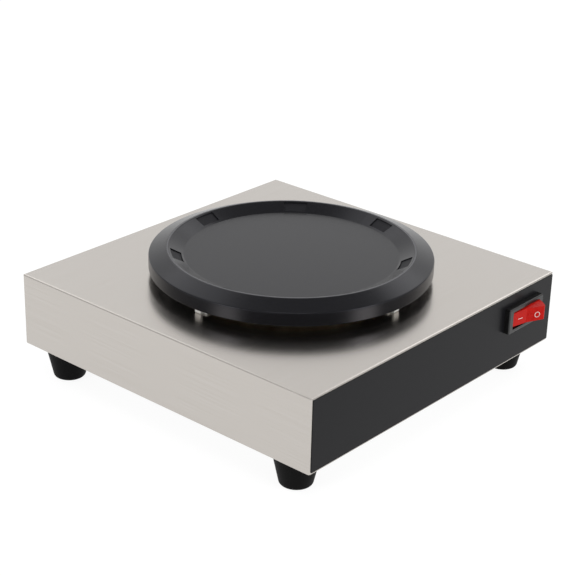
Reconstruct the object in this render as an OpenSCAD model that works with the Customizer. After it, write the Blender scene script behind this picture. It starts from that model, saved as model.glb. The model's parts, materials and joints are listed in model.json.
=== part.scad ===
// Decanter warmer: a low folded steel box on four rubber feet, with a round
// heated plate on top and a lit rocker switch in the front panel.
// Millimetres. +Z is up, the front faces -Y, the origin is on the table under the middle.

/* [Housing] */
// Width of the housing, side to side
body_w = 200; // [180:1:260]
// Depth of the housing, front to back
body_d = 200; // [180:1:260]
// Height of the housing above its feet
body_h = 40; // [38:1:70]
// Thickness of the folded steel sheet
sheet_t = 1; // [0.8:0.1:1.4]
// Outside radius of the folds
fold_r = 1; // [0.8:0.1:3]
// Thickness of the base plate
base_t = 1; // [0.8:0.1:1.5]
// Gap between the base plate's edge and the walls
base_gap = 0.25; // [0.1:0.05:0.5]
// Vent slots in each bank of the base plate
vent_n = 9; // [3:1:12]
// Length of a vent slot
vent_l = 36; // [20:1:40]
// Width of a vent slot
vent_w = 3; // [2:0.5:4]
// Pitch of the vent slots
vent_pitch = 8; // [6:0.5:10]

/* [Feet] */
// Height of a rubber foot
foot_h = 17.5; // [14:0.5:25]
// Radius of a foot where it meets the base
foot_top_r = 12; // [10:0.5:12]
// Radius of a foot at the table
foot_tip_r = 8.3; // [7.5:0.1:10]
// Distance from the foot's axis to the housing's side
foot_in_x = 13.5; // [13.5:0.5:30]
// Distance from the foot's axis to the housing's front or back
foot_in_y = 19.2; // [15:0.1:30]
// Rounding of the foot's lower edge
foot_edge_r = 2; // [1:0.1:2]
// Radius of the screw recess under the foot
recess_r = 5; // [4.8:0.1:5.2]
// Depth of the screw recess
recess_d = 9; // [7:0.5:10]

/* [Fasteners] */
// Shank radius of the foot and earth screws
m4_r = 2; // [1.5:0.1:2.2]
// Shank radius of the small screws
m3_r = 1.5; // [1.2:0.1:1.7]
// Clearance round a screw in a plain hole
hole_gap = 0.25; // [0.15:0.05:0.4]
// Clearance round a screw in its thread
thread_gap = 0.05; // [0.02:0.01:0.1]
// Thickness of the corner brackets
bracket_t = 1.5; // [1:0.1:2]
// Length of a corner bracket along the wall
bracket_l = 24; // [18:1:30]
// Height of a corner bracket's upright
bracket_h = 13; // [10:1:16]
// Height of the weld nuts
nut_h = 3.2; // [2.5:0.1:4]
// Radius of the washers under the foot screws
washer_r = 4.5; // [4:0.1:4.7]
// Thickness of the washers
washer_t = 0.8; // [0.6:0.1:1.2]
// Height of a pan head
head_h = 2.4; // [1.8:0.1:3]

/* [Front panel] */
// Thickness of the overlay
film_t = 0.4; // [0.3:0.1:0.8]
// Steel left showing at the overlay's sides
film_side = 1; // [0.8:0.1:6]
// Steel left showing above the overlay
film_top = 1.1; // [0.8:0.1:6]
// Steel left showing below the overlay
film_low = 0.8; // [0.5:0.1:6]
// Corner radius of the overlay
film_corner = 0.5; // [0.3:0.1:4]

/* [Switch] */
// Distance from the switch's middle to the housing's right side
switch_inset = 29.3; // [24:0.1:60]
// Distance from the switch's middle down from the top
switch_drop = 14.3; // [10:0.1:20]
// Width of the bezel
bezel_w = 31; // [30:0.1:36]
// Height of the bezel
bezel_h = 14; // [13.5:0.1:18]
// How far the bezel stands out from the overlay
bezel_proud = 3.2; // [2.6:0.1:4]
// Width of the panel cut-out
cut_w = 28.4; // [28:0.1:29]
// Height of the panel cut-out
cut_h = 12.4; // [12:0.1:13]
// Clearance round the switch housing in the cut-out
cut_gap = 0.2; // [0.1:0.05:0.3]
// Depth of the switch housing behind the overlay
switch_depth = 17; // [16:0.5:24]
// Reach of the rocker's ends from its pivot
rocker_r = 11.9; // [11:0.1:12]
// Height of the rocker along its pivot
rocker_h = 9.4; // [8:0.1:9.6]
// Clearance between the rocker and its opening
rocker_gap = 0.3; // [0.2:0.05:0.4]
// Height of the rocker's face, between its tapered sides
face_h = 7.5; // [6.5:0.1:9]
// Slope of each half of the rocker's face
face_tilt = 9; // [6:0.5:11]
// Tilt of the rocker to either side of its middle
rocker_tilt = 18; // [8:0.5:19]
// Set-back of the pivot behind the bezel's face
pivot_back = 2.2; // [2:0.1:2.4]
// Distance from the pivot to the valley of the rocker's face
valley = 3.2; // [2.4:0.1:3.6]
// Radius of the pivot pins
pivot_r = 0.95; // [0.8:0.05:1]
// Radial running clearance of the pivots
pivot_gap = 0.05; // [0.03:0.01:0.1]
// Tilt of the contact arm to either side of its middle
arm_tilt = 6; // [4:0.5:7]

/* [Warming plate] */
// Outer radius of the plate
plate_r = 75.5; // [70:0.5:85]
// Gap between the steel top and the plate's skirt
plate_gap = 4.5; // [4:0.1:8]
// Height of the plate's upright skirt
skirt_h = 7.2; // [6.5:0.1:12]
// Thickness of the skirt
skirt_t = 6; // [3.5:0.1:7]
// Width of the sloping rim, from the skirt in to the crest
rim_w = 10; // [8:0.5:12]
// Rounding of the crest
crest_edge = 2.4; // [1:0.1:2.6]
// Rise of the sloping rim from the skirt to the crest
rim_rise = 3.8; // [2.5:0.1:6]
// Width of the dish wall, from the crest in to the flat floor
wall_w = 8.5; // [7.5:0.5:12]
// Depth of the dish below the crest
dish_d = 4; // [2.5:0.1:4.5]
// Thickness of the dish floor
floor_t = 3; // [2.6:0.1:3.4]
// Notches round the dish wall
notch_n = 7; // [3:1:9]
// Angle that one notch takes up
notch_deg = 12; // [6:1:20]
// Direction of the first notch
notch_from = 142; // [0:1:359]
// Depth of a notch below the dish wall
notch_d = 0.6; // [0.3:0.1:1.2]
// Dish wall left between a notch and the floor
notch_foot = 1.2; // [0.8:0.1:2]
// Dish wall left between a notch and the crest
notch_lip = 1.5; // [1.3:0.1:2]
// Width of a rim standoff's upright
standoff_w = 4; // [3:0.5:8]
// Thickness of the rim standoffs
standoff_t = 1.2; // [0.8:0.1:1.5]

/* [Heater] */
// Distance of the mica discs' edge inside the dish floor
mica_in = 3; // [1:0.5:5]
// Thickness of a mica disc
mica_t = 0.5; // [0.3:0.1:0.7]
// Thickness of the resistance track
track_t = 0.6; // [0.4:0.1:0.8]
// Width of one ring of the track
track_w = 4; // [3:0.5:5]
// Pitch of the track's rings
track_pitch = 9; // [8:0.5:10]
// Rings in the track
track_n = 4; // [2:1:4]
// Distance of the clamp plate's edge inside the mica discs
clamp_in = 2; // [1:0.5:4]
// Thickness of the clamp plate
clamp_t = 1.2; // [0.8:0.1:1.4]
// Distance of the heat shield's edge inside the plate's skirt
shield_in = 12.5; // [11.5:0.5:14]
// Thickness of the heat shield
shield_t = 0.6; // [0.4:0.1:0.8]
// Height of the shield's raised middle above the steel top
shield_lift = 1.8; // [1.4:0.1:2]
// Shank radius of the plate stud
stud_r = 3; // [2.5:0.1:3.5]
// Spread of the element's tails to either side
tail_x = 14; // [10:1:18]
// Distance of the element's tails inside the clamp plate's front edge
tail_in = 20; // [16:1:26]
// Radius of a tail pin
tail_r = 1.2; // [1:0.1:1.4]
// Distance of the thermostat's axis inside the clamp plate's rear edge
stat_in = 18; // [14:1:22]
// Radius of the thermostat's sensing cap
stat_r = 7; // [6:0.1:8]
// Distance of the thermal fuse to the left of the middle
fuse_x = 30; // [26:1:34]

/* [Wiring] */
// Distance from the cord gland's axis to the housing's right side
gland_inset = 60; // [40:1:100]
// Height of the cord gland above the base
gland_rise = 16; // [14:1:20]
// Radius of the cord gland's bore
gland_bore_r = 4; // [3:0.1:4.4]
// Reach of the cord gland outside the rear wall
gland_proud = 7.2; // [6:0.1:12]
// Length of the terminal block
block_l = 48; // [46:1:54]
// Depth of the terminal block
block_d = 18; // [14:1:24]
// Height of the terminal block
block_h = 14; // [12:1:18]
// Pitch of the terminal block's poles
pole_pitch = 9; // [8:0.5:9.5]
// Radius of an insulated lead
lead_r = 1.4; // [1:0.1:1.6]

/* [Hidden] */
$fn = 96;

// Steps in a small rounding
arc_steps = 6;
// Overshoot of a cut past the face that it opens
cut = 1;
// Clearance of parts that only sit beside each other
slip = 0.2;

// Levels
base_top = foot_h + base_t;
body_top = foot_h + body_h;
ceiling = body_top - sheet_t;
in_w = body_w - 2 * sheet_t;
in_d = body_d - 2 * sheet_t;
foot_x = body_w / 2 - foot_in_x;
foot_y = body_d / 2 - foot_in_y;
bracket_top = base_top + bracket_t;

// Plate levels
skirt_low = body_top + plate_gap;
rim_edge = skirt_low + skirt_h;
crest = rim_edge + rim_rise;
dish_floor = crest - dish_d;
floor_under = dish_floor - floor_t;
skirt_in_r = plate_r - skirt_t;
crest_r = plate_r - rim_w;
floor_r = crest_r - wall_w;
boss_r = stud_r + 4;
boss_low = floor_under - mica_t - track_t - mica_t + slip;
stud_top = dish_floor - 1.4;

// Heater radii, and its levels from the dish floor down
track_top = floor_under - mica_t;
lower_mica_top = track_top - track_t;
clamp_top = lower_mica_top - mica_t;
clamp_low = clamp_top - clamp_t;
shield_top = body_top + shield_lift + shield_t;
mica_r = floor_r - mica_in;
clamp_r = mica_r - clamp_in;
shield_r = skirt_in_r - shield_in;
tail_y = clamp_r - tail_in;
stat_y = clamp_r - stat_in;
heater_hole_r = boss_r + 0.5;
stud_hole_r = stud_r + hole_gap;
tail_hole_r = tail_r + 0.8;
bushing_wall = 1.6;
bushing_r = tail_r + bushing_wall;
track_lap = 1.2;
tail_drop = 8;
bushing_drop = 4;
bushing_flange_t = 2;
bushing_rise = 1;

// Standoffs carry the middle of the skirt's inner half
standoff_out = skirt_in_r + standoff_t + 0.2;
standoff_in = shield_r + 3;
rivet_at = (standoff_in + skirt_in_r) / 2;
flange_w = standoff_w + 4;

// Thermostat levels
stat_hole_r = stat_r + 1;
stat_flange_r = stat_hole_r + 2.5;
stat_flange_t = 2;
stat_body_r = stat_r + 0.5;
stat_body_l = 10;
stat_low = ceiling - stat_flange_t - stat_body_l;
stat_blade_l = 7;
stat_blade_x = 4;
strap_t = 1.2;
strap_foot = 8;
strap_reach = stat_flange_r + slip + strap_t;
strap_screw_x = strap_reach + strap_foot / 2;

// Fuse
fuse_r = 2;
fuse_l = 12;
fuse_tip = 3;
clip_t = 0.8;
fuse_z = ceiling - clip_t - fuse_r - 1;

// Switch: local frame at the pivot, x right, y inward, z up
film_y = -body_d / 2 - film_t;
switch_x = body_w / 2 - switch_inset;
switch_z = body_top - switch_drop;
pivot_y = film_y - bezel_proud + pivot_back;
bezel_front = -pivot_back;
bezel_rear = bezel_proud - pivot_back;
housing_end = bezel_rear + switch_depth;
house_w = cut_w - 2 * cut_gap;
house_h = cut_h - 2 * cut_gap;
open_w = 2 * (rocker_r + rocker_gap);
open_h = rocker_h + 2 * rocker_gap;
pin_l = (bezel_h - open_h) / 4 + rocker_gap;
cheek_gap = 0.3;
arm_t = 0.8;
arm_z = 1.9;
arm_y = 9.8;
arm_reach = 8.5;
contact_x = 7.6;
contact_r = 1.3;
contact_h = 0.7;
trunnion_r = 0.9;
trunnion_in = 0.4;
trunnion_out = 0.7;
cavity_end = 13.6;
blade_t = 0.8;
blade_w = 4.8;
blade_out = 8;
blade_x = 8;
blade_tip = housing_end + blade_out;
plunger_r = 1.2;
plunger_tip = arm_y - arm_t / 2 - slip;
stem_w = 5;
stem_end = 5.6;
skirt_y = 2.6;
lamp_r = 1.4;
lamp_x = 6.5;

// Cord entry and wiring
gland_x = body_w / 2 - gland_inset;
gland_z = foot_h + gland_rise;
neck_r = gland_bore_r + 2;
neck_in = 10;
gland_nut_grip = 5;
gland_nut_h = 4;
block_x = gland_x;
block_back = 36;
block_y = in_d / 2 - block_back;
bore_z = base_top + block_h / 2;
pole_r = lead_r + 0.5;
block_ear = 2.2;
block_web = 3;
screw_past = 1.5;
pole_grip = 5;
pole_run = 14;
switch_run = 12;
earth_side = 52;
earth_back = 24;
earth_x = gland_x - earth_side;
earth_y = in_d / 2 - earth_back;
lug_t = 0.8;
lug_l = 9;
pan_r = 1.8;

// Signs of the four corners: right and rear are positive
CORNERS = [[-1, -1], [1, -1], [-1, 1], [1, 1]];
QUARTERS = [0, 90, 180, 270];

// Arc that rounds the corner b between its neighbours a and c
function corner_arc(a, b, c, r, n) =
    let (
        u = (a - b) / norm(a - b),
        w = (c - b) / norm(c - b),
        half = acos(u * w) / 2,
        centre = b + (u + w) / norm(u + w) * r / sin(half),
        p = b + u * r / tan(half) - centre,
        q = b + w * r / tan(half) - centre,
        start = atan2(p.y, p.x),
        turn = atan2(p.x * q.y - p.y * q.x, p * q)
    )
    [for (i = [0:n]) centre + r * [cos(start + turn * i / n), sin(start + turn * i / n)]];

// Outline through [x, y, corner radius] points
function rounded(pts, n = arc_steps) =
    let (count = len(pts))
    [for (i = [0:count - 1])
        let (
            a = pts[(i + count - 1) % count],
            b = pts[i],
            c = pts[(i + 1) % count]
        )
        each (b.z == 0
            ? [[b.x, b.y]]
            : corner_arc([a.x, a.y], [b.x, b.y], [c.x, c.y], b.z, n))];

// Corner points of a centred rectangle with one radius
function rectangle(w, h, r) =
    [[-w / 2, -h / 2, r], [w / 2, -h / 2, r], [w / 2, h / 2, r], [-w / 2, h / 2, r]];

// Smooth curve through the points of a lead's route
function curve_point(a, b, c, d, t) =
    0.5 * (2 * b + (c - a) * t + (2 * a - 5 * b + 4 * c - d) * t * t
        + (3 * b - a - 3 * c + d) * t * t * t);
function curve(p, n) =
    let (last = len(p) - 1)
    [for (i = [0:last - 1])
        let (
            a = i == 0 ? 2 * p[0] - p[1] : p[i - 1],
            d = i == last - 1 ? 2 * p[last] - p[last - 1] : p[i + 2]
        )
        for (k = [0:n - 1]) curve_point(a, p[i], p[i + 1], d, k / n),
        p[last]];
function unit(v) = v / norm(v);
function tangent(p, i) = unit(p[min(i + 1, len(p) - 1)] - p[max(i - 1, 0)]);
// Side vectors carried along the curve without twisting
function carried(p, i, side) =
    let (t = tangent(p, i), s = unit(side - (side * t) * t))
    i == len(p) - 1 ? [s] : concat([s], carried(p, i + 1, s));

// Round lead swept along a route
module lead(route, r = lead_r, sides = 8, per_span = 4) {
    p = curve(route, per_span);
    t0 = tangent(p, 0);
    first = abs(t0.z) < 0.9 ? cross(t0, [0, 0, 1]) : cross(t0, [1, 0, 0]);
    side = carried(p, 0, first);
    count = len(p);
    points = [for (i = [0:count - 1])
        let (s = side[i], u = cross(tangent(p, i), s))
        for (k = [0:sides - 1]) p[i] + r * (s * cos(360 * k / sides) + u * sin(360 * k / sides))];
    walls = [for (i = [0:count - 2], k = [0:sides - 1])
        let (a = i * sides + k, b = i * sides + (k + 1) % sides)
        each [[a, a + sides, b + sides], [a, b + sides, b]]];
    ends = [
        [for (k = [0:sides - 1]) k],
        [for (k = [sides - 1:-1:0]) (count - 1) * sides + k]
    ];
    polyhedron(points, concat(walls, ends));
}

// Block with folded, rounded upright and top edges, standing on z = 0
module folded_block(w, d, h, r) {
    intersection() {
        linear_extrude(h) polygon(rounded(rectangle(w, d, r)));
        translate([0, d / 2 + cut, 0]) rotate([90, 0, 0]) linear_extrude(d + 2 * cut)
            polygon(rounded([[-w / 2, 0, 0], [w / 2, 0, 0], [w / 2, h, r], [-w / 2, h, r]]));
        translate([-w / 2 - cut, 0, 0]) rotate([90, 0, 90]) linear_extrude(w + 2 * cut)
            polygon(rounded([[-d / 2, 0, 0], [d / 2, 0, 0], [d / 2, h, r], [-d / 2, h, r]]));
    }
}

// Upright disc or tube from z0 to z1
module tube(r, z0, z1, bore = 0) {
    difference() {
        translate([0, 0, z0]) cylinder(r = r, h = z1 - z0);
        if (bore > 0) translate([0, 0, z0 - cut]) cylinder(r = bore, h = z1 - z0 + 2 * cut);
    }
}

// Hexagon nut between z0 and z1
module hex_nut(flats, z0, z1, bore) {
    difference() {
        translate([0, 0, z0]) cylinder(r = flats / sqrt(3), h = z1 - z0, $fn = 6);
        translate([0, 0, z0 - cut]) cylinder(r = bore, h = z1 - z0 + 2 * cut);
    }
}

// Pan-head screw: head below z, shank up to tip
module screw_up(r, head_r, z, tip) {
    translate([0, 0, z - head_h]) rotate_extrude()
        polygon(rounded([[0, 0, 0], [head_r, 0, 0.8], [head_r, head_h, 0], [0, head_h, 0]]));
    translate([0, 0, z]) cylinder(r = r, h = tip - z);
}

// Pan-head screw: head above z, shank down to tip
module screw_down(r, head_r, z, tip) {
    translate([0, 0, z]) rotate_extrude()
        polygon(rounded([[0, 0, 0], [head_r, 0, 0], [head_r, head_h, 0.8], [0, head_h, 0]]));
    translate([0, 0, tip]) cylinder(r = r, h = z - tip);
}

module at_feet() {
    for (c = CORNERS) translate([c.x * foot_x, c.y * foot_y, 0]) children();
}

module at_switch() {
    translate([switch_x, pivot_y, switch_z]) children();
}

module at_tails() {
    for (s = [-1, 1]) translate([s * tail_x, -tail_y, 0]) children();
}

module at_stat() {
    translate([0, stat_y, 0]) children();
}

module at_strap_screws() {
    at_stat() for (s = [-1, 1]) translate([s * strap_screw_x, 0, 0]) children();
}

module at_block_screws() {
    for (s = [-1, 1]) translate([block_x + s * (block_l / 2 - block_ear), block_y, 0]) children();
}

// Round-ended slot along y
module slot(w, l) {
    square([w, l - w], center = true);
    for (s = [-1, 1]) translate([0, s * (l - w) / 2]) circle(r = w / 2);
}

// Panel-wide cut for the switch
module switch_window() {
    translate([switch_x - cut_w / 2, -body_d / 2 - film_t - cut, switch_z - cut_h / 2])
        cube([cut_w, film_t + sheet_t + 2 * cut, cut_h]);
}

// Folded stainless sheet: top and four sides, open underneath
module housing_shell() {
    color("#c4c0bb") difference() {
        translate([0, 0, foot_h]) folded_block(body_w, body_d, body_h, fold_r);
        translate([-in_w / 2, -in_d / 2, foot_h - cut]) cube([in_w, in_d, body_h - sheet_t + cut]);
        switch_window();
        translate([0, 0, ceiling - cut]) {
            cylinder(r = stud_hole_r, h = sheet_t + 2 * cut);
            at_stat() cylinder(r = stat_hole_r, h = sheet_t + 2 * cut);
            at_tails() cylinder(r = bushing_r + slip, h = sheet_t + 2 * cut);
            at_strap_screws() cylinder(r = m3_r + thread_gap, h = sheet_t + 2 * cut);
            translate([-fuse_x, 0, 0]) cylinder(r = m3_r + hole_gap, h = sheet_t + 2 * cut);
            for (a = QUARTERS) rotate(a) translate([rivet_at, 0, 0])
                cylinder(r = m3_r + hole_gap, h = sheet_t + 2 * cut);
        }
        translate([gland_x, in_d / 2 - cut, gland_z]) rotate([-90, 0, 0])
            cylinder(r = neck_r + hole_gap, h = sheet_t + 2 * cut);
    }
}

// Flat bottom sheet with two banks of vent slots, flush with the shell's edge
module base_plate() {
    color("#a9a8a6") translate([0, 0, foot_h]) linear_extrude(base_t) difference() {
        square([in_w - 2 * base_gap, in_d - 2 * base_gap], center = true);
        at_feet() circle(r = m4_r + hole_gap);
        at_block_screws() circle(r = m3_r + thread_gap);
        translate([earth_x, earth_y]) circle(r = m4_r + hole_gap);
        for (i = [0:vent_n - 1], s = [-1, 1])
            translate([(i - (vent_n - 1) / 2) * vent_pitch, s * (vent_l / 2 + vent_w)])
                slot(vent_w, vent_l);
    }
}

// Bent brackets spot-welded inside the side walls, one over each foot
module corner_brackets() {
    flat_w = foot_in_x - sheet_t + foot_top_r - 4;
    color("#8f9092") for (c = CORNERS)
        translate([c.x * in_w / 2, c.y * foot_y, base_top]) mirror([c.x > 0 ? 1 : 0, 0, 0])
            difference() {
                rotate([90, 0, 0]) linear_extrude(bracket_l, center = true)
                    polygon(rounded([
                        [0, 0, 0], [flat_w, 0, 0], [flat_w, bracket_t, 0],
                        [bracket_t, bracket_t, 0.5], [bracket_t, bracket_h, 0], [0, bracket_h, 0]
                    ]));
                translate([foot_in_x - sheet_t, 0, -cut])
                    cylinder(r = m4_r + hole_gap, h = bracket_t + 2 * cut);
            }
}

// Hexagon nuts welded on the corner brackets
module weld_nuts() {
    color("#b9b7b2") at_feet()
        hex_nut(3.5 * m4_r, bracket_top, bracket_top + nut_h, m4_r + thread_gap);
}

// Tapered rubber foot with a screw recess; c gives its corner
module rubber_foot(c) {
    color("#1c1c1d") translate([c.x * foot_x, c.y * foot_y, 0]) difference() {
        rotate_extrude() polygon(rounded([
            [0, 0, 0], [foot_tip_r, 0, foot_edge_r], [foot_top_r, foot_h - 0.6, 0.5],
            [foot_top_r, foot_h, 0], [0, foot_h, 0]
        ]));
        translate([0, 0, -cut]) cylinder(r = recess_r, h = recess_d + cut);
        cylinder(r = m4_r + hole_gap, h = foot_h + cut);
    }
}

module foot_front_left() { rubber_foot(CORNERS[0]); }
module foot_front_right() { rubber_foot(CORNERS[1]); }
module foot_rear_left() { rubber_foot(CORNERS[2]); }
module foot_rear_right() { rubber_foot(CORNERS[3]); }

// Pan-head screws that hold the feet and the base plate to the weld nuts
module foot_screws() {
    color("#b4b3b0") at_feet()
        screw_up(m4_r, pan_r * m4_r, recess_d - washer_t, bracket_top + nut_h + screw_past);
}

// Plain washers under the foot screws' heads
module foot_washers() {
    color("#b4b3b0") at_feet() tube(washer_r, recess_d - washer_t, recess_d, m4_r + hole_gap);
}

// Graphite overlay on the front face, with a window for the switch
module front_overlay() {
    film_h = body_h - film_top - film_low;
    color("#3b3b3d") difference() {
        translate([0, -body_d / 2, foot_h + film_low + film_h / 2]) rotate([90, 0, 0])
            linear_extrude(film_t) polygon(rounded(rectangle(body_w - 2 * film_side, film_h, film_corner)));
        switch_window();
    }
}

// Rocker outline between its ends: a shallow valley in front, arcs about the pivot at the ends
function rocker_outline() =
    let (
        edge_r = 0.9,
        rise = asin((edge_r - valley * cos(face_tilt)) / (rocker_r - edge_r)) - face_tilt,
        centre = (rocker_r - edge_r) * [cos(rise), sin(rise)],
        low = asin(skirt_y / rocker_r),
        corner = [for (i = [0:arc_steps])
            let (a = -90 - face_tilt + (rise + 90 + face_tilt) * i / arc_steps)
            centre + edge_r * [cos(a), sin(a)]],
        end = [for (i = [1:arc_steps]) let (a = rise + (low - rise) * i / arc_steps)
            rocker_r * [cos(a), sin(a)]],
        right = concat(corner, end),
        count = len(right)
    )
    concat(
        [[0, -valley]], right,
        [for (i = [count - 1:-1:0]) [-right[i].x, right[i].y]]
    );

// Moulded switch case: bezel, body behind the panel, snap arms, rocker well and pin holes
module switch_housing() {
    snap = [
        [0, 0, 0], [1.1, 0, 0], [1.1, 0.8, 0], [0, 6, 0]
    ];
    snap_y = bezel_rear + film_t + sheet_t + slip;
    color("#2a2a2c") at_switch() difference() {
        union() {
            translate([0, bezel_rear, 0]) rotate([90, 0, 0])
                folded_block(bezel_w, bezel_h, bezel_proud, 0.7);
            translate([-house_w / 2, bezel_rear - cut, -house_h / 2])
                cube([house_w, switch_depth + cut, house_h]);
            for (s = [0, 1]) mirror([s, 0, 0]) translate([house_w / 2 - 0.1, snap_y, -2.5])
                linear_extrude(5) polygon(rounded(snap));
        }
        translate([-open_w / 2, bezel_front - cut, -open_h / 2])
            cube([open_w, cavity_end - bezel_front + cut, open_h]);
        translate([0, 0, -open_h / 2 - pin_l]) cylinder(r = pivot_r + pivot_gap, h = open_h + 2 * pin_l);
        for (x = [-blade_x, 0, blade_x])
            translate([x - blade_t / 2 - pivot_gap, cavity_end - cut, -blade_w / 2 - pivot_gap])
                cube([blade_t + 2 * pivot_gap, switch_depth, blade_w + 2 * pivot_gap]);
    }
}

// Blade that runs out of the back of the switch at x
module switch_blade(x) {
    difference() {
        translate([x - blade_t / 2, cavity_end - 0.5, -blade_w / 2])
            cube([blade_t, blade_tip - cavity_end + 0.5, blade_w]);
        translate([x - cut, blade_tip - 2.6, 0]) rotate([0, 90, 0]) cylinder(r = 0.8, h = 2 * cut);
    }
}

// Middle terminal: blade and a forked cradle that carries the contact arm
module line_terminal() {
    fork_x = 1.7;
    fork_in = arm_z + cheek_gap;
    fork_out = fork_in + 0.9;
    fork_base = cavity_end - 1.3;
    color("#c9a24a") at_switch() {
        switch_blade(0);
        translate([-fork_x, fork_base, -fork_out]) cube([2 * fork_x, 0.8, 2 * fork_out]);
        for (s = [0, 1]) mirror([0, 0, s]) difference() {
            translate([-fork_x, arm_y - 1.9, fork_in]) cube([2 * fork_x, fork_base - arm_y + 1.9, 0.9]);
            translate([0, arm_y, fork_in - cut]) cylinder(r = trunnion_r + pivot_gap, h = 3 * cut);
        }
    }
}

// Load terminal: blade with the fixed contact that the arm closes on
module load_terminal() {
    pad_y = arm_y + contact_x * sin(arm_tilt) + (arm_t / 2 + contact_h) * cos(arm_tilt) + 0.5;
    color("#c9a24a") at_switch() {
        switch_blade(blade_x);
        translate([contact_x - 2, pad_y, -blade_w / 2]) cube([4, cavity_end - 0.4 - pad_y, blade_w]);
    }
}

// Lamp terminal: blade with a short spring tab towards the rocker
module lamp_terminal() {
    color("#c9a24a") at_switch() {
        switch_blade(-blade_x);
        translate([-blade_x - 1.5, cavity_end - 1.2, -blade_w / 2]) cube([3, 0.8, blade_w]);
    }
}

// Red rocker on two pivot pins, tapered towards its face; stored with its left half pressed in
module switch_rocker() {
    face_y = valley + rocker_r * tan(face_tilt);
    sides = [
        [-skirt_y - cut, -rocker_h / 2], [0, -rocker_h / 2], [face_y, -face_h / 2],
        [face_y, face_h / 2], [0, rocker_h / 2], [-skirt_y - cut, rocker_h / 2]
    ];
    color("#c1241f") at_switch() rotate(-rocker_tilt) difference() {
        union() {
            intersection() {
                translate([0, 0, -rocker_h / 2]) linear_extrude(rocker_h) polygon(rocker_outline());
                translate([rocker_r, 0, 0]) rotate([90, 0, -90])
                    linear_extrude(2 * rocker_r) polygon(sides);
            }
            translate([-stem_w / 2, skirt_y - cut, -stem_w / 2])
                cube([stem_w, stem_end - skirt_y + cut, stem_w]);
            translate([0, 0, -rocker_h / 2 - pin_l]) cylinder(r = pivot_r, h = rocker_h + 2 * pin_l);
        }
        translate([0, 1.4, 0]) rotate([-90, 0, 0]) cylinder(r = plunger_r + pivot_gap, h = stem_end);
        translate([-lamp_x - lamp_r - slip, 0.2, -rocker_h / 2 + 1])
            cube([2 * (lamp_r + slip), skirt_y + cut, rocker_h - 2]);
    }
}

// Nylon plunger in the rocker's stem, round-ended where it rides on the contact arm
module rocker_plunger() {
    color("#e3e0d6") at_switch() rotate(-rocker_tilt) translate([0, 3, 0]) rotate([-90, 0, 0]) {
        cylinder(r = plunger_r, h = plunger_tip - 3 - plunger_r);
        translate([0, 0, plunger_tip - 3 - plunger_r]) sphere(r = plunger_r);
    }
}

// Closed-up coil spring behind the plunger
module plunger_spring() {
    color("#8d8f91") at_switch() rotate(-rocker_tilt) translate([0, 1.45, 0]) rotate([-90, 0, 0])
        tube(plunger_r - 0.05, 0, 1.5, plunger_r - 0.5);
}

// Glow lamp that lights the rocker from inside
module neon_lamp() {
    color("#e6b9a4") at_switch() rotate(-rocker_tilt) translate([-lamp_x, 0.2 + lamp_r, 0])
        cylinder(r = lamp_r, h = rocker_h - 2 - 2 * slip, center = true);
}

// Rocking contact arm on two trunnions; stored closed on the load contact
module contact_arm() {
    color("#b8793f") at_switch() translate([0, arm_y, 0]) rotate(arm_tilt) {
        translate([-arm_reach, -arm_t / 2, -arm_z]) cube([2 * arm_reach, arm_t, 2 * arm_z]);
        for (s = [0, 1]) mirror([0, 0, s]) translate([0, 0, arm_z - trunnion_in])
            cylinder(r = trunnion_r, h = trunnion_in + cheek_gap + trunnion_out);
        translate([contact_x, arm_t / 2 - 0.1, 0]) rotate([-90, 0, 0])
            cylinder(r = contact_r, h = contact_h + 0.1);
    }
}

// Coated casting: dish floor, conical dish wall with notches, sloping rim and upright skirt
module warming_plate() {
    crest_half = crest_edge / 4;
    notch_in = floor_r + notch_foot;
    notch_out = crest_r - notch_lip;
    wall_slope = dish_d / (crest_r - crest_half - floor_r);
    color("#4a4b4c") difference() {
        union() {
            rotate_extrude() polygon(rounded([
                [0, floor_under, 0], [floor_r + 2, floor_under, 0],
                [crest_r + 0.5, floor_under + 1.2, 1], [skirt_in_r, floor_under - 0.3, 0.4],
                [skirt_in_r, skirt_low, 0], [plate_r, skirt_low, 0.5], [plate_r, rim_edge, 0.8],
                [crest_r + crest_half, crest, crest_edge], [crest_r - crest_half, crest, crest_edge],
                [floor_r, dish_floor, 0.6], [0, dish_floor, 0]
            ]));
            tube(boss_r, boss_low, floor_under + cut);
        }
        translate([0, 0, boss_low - cut])
            cylinder(r = stud_r + thread_gap, h = stud_top + 0.2 - boss_low + cut);
        for (i = [0:notch_n - 1])
            rotate(notch_from - notch_deg / 2 + i * 360 / notch_n) rotate_extrude(angle = notch_deg)
                polygon([
                    [notch_in, dish_floor - notch_d + wall_slope * notch_foot],
                    [notch_out, dish_floor - notch_d + wall_slope * (notch_out - floor_r)],
                    [notch_out, crest + cut], [notch_in, crest + cut]
                ]);
    }
}

// Bright bent tabs that carry the plate's skirt above the steel top
module rim_standoffs() {
    color("#d9d8d5") for (a = QUARTERS) rotate(a) difference() {
        union() {
            translate([standoff_in, -flange_w / 2, body_top])
                cube([skirt_in_r - 1 - standoff_in, flange_w, standoff_t]);
            translate([0, standoff_w / 2, 0]) rotate([90, 0, 0]) linear_extrude(standoff_w)
                polygon(rounded([
                    [skirt_in_r - 2, body_top, 0], [standoff_out, body_top, 0.8],
                    [standoff_out, skirt_low, 0], [standoff_out - standoff_t, skirt_low, 0],
                    [standoff_out - standoff_t, body_top + standoff_t, 0.4],
                    [skirt_in_r - 2, body_top + standoff_t, 0]
                ]));
        }
        translate([rivet_at, 0, body_top - cut])
            cylinder(r = m3_r + hole_gap, h = standoff_t + 2 * cut);
    }
}

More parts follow.
